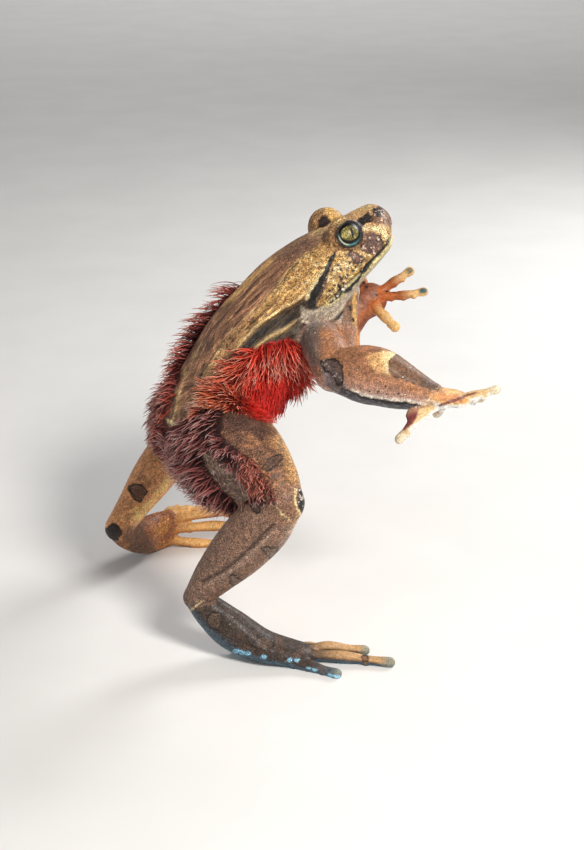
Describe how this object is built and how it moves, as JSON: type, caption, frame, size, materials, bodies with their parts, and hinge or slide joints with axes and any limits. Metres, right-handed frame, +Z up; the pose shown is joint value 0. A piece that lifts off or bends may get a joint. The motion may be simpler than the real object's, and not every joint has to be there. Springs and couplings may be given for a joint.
{
  "type": "hairy frog",
  "caption": "Life-size breeding male hairy frog rearing on its hind legs, with fringes of hair-like skin on its flanks and thighs.",
  "frame": {"origin": "on the floor, under the middle of the frog's bounding box", "axes": "+X is the way the frog heads, +Y is its left, +Z is up"},
  "size_m": [0.136, 0.1144, 0.1393],
  "materials": {
    "back_skin": "moist, wrinkled",
    "face_skin": "moist, warty",
    "limb_skin": "moist, warty",
    "palm_skin": "moist",
    "eye": "glossy, wet"
  },
  "bodies": {
    "root": {"head": "face_skin", "torso": "back_skin", "eye_right": "eye", "eye_left": "eye", "upper_arm_right": "limb_skin", "forearm_right": "limb_skin", "hand_right": "palm_skin", "upper_arm_left": "limb_skin", "forearm_left": "limb_skin", "hand_left": "palm_skin", "thigh_right": "limb_skin", "shank_right": "limb_skin", "foot_right": "palm_skin", "thigh_left": "limb_skin", "shank_left": "limb_skin", "foot_left": "palm_skin"}
  },
  "joints": []
}
